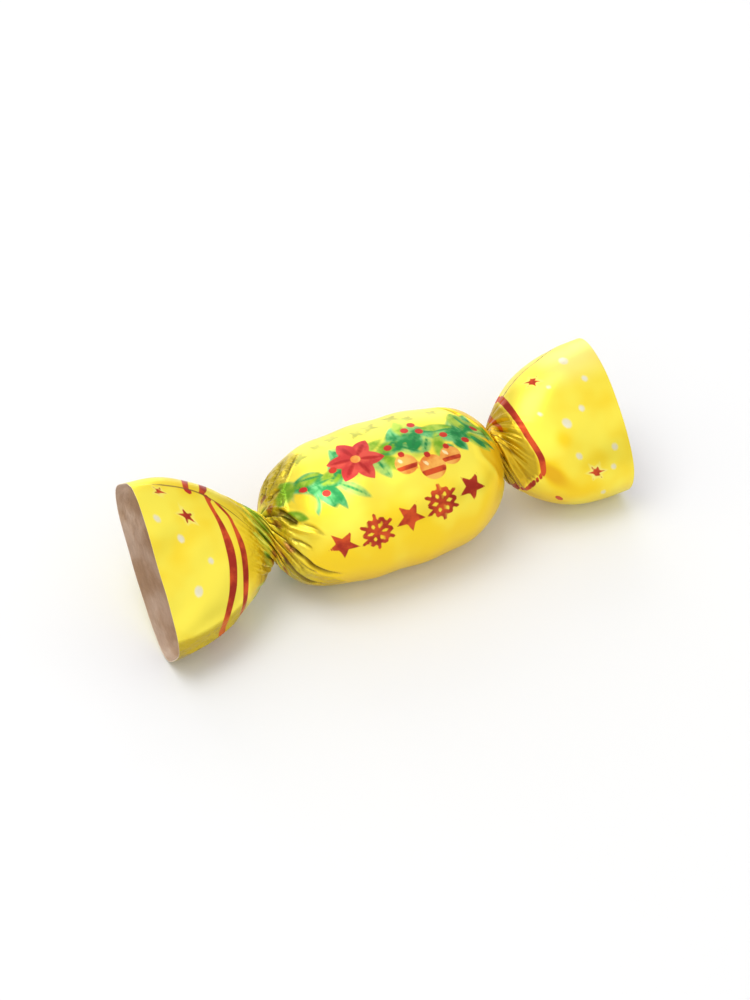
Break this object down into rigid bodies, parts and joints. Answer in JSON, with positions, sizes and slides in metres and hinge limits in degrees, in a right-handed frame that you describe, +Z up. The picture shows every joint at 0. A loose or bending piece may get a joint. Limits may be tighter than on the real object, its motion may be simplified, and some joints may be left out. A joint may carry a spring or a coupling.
{
  "type": "wrapped caramel sweet",
  "caption": "Twist-wrapped caramel: a soft oval body in printed film, gathered in tight twists that fan open at both ends.",
  "frame": {"origin": "middle of the small flat spot that the body rests on, level with the surface under it", "axes": "+X along the sweet, +Z up, +Y to the back; the flat fans lean forward at the bottom"},
  "size_m": [0.0564, 0.0187, 0.0173],
  "materials": {
    "printed_film": "thin metallised wrapping film, glossy, printed yellow outside and bare grey-taupe inside"
  },
  "bodies": {
    "root": {"wrapped_caramel": "printed_film"}
  },
  "joints": []
}
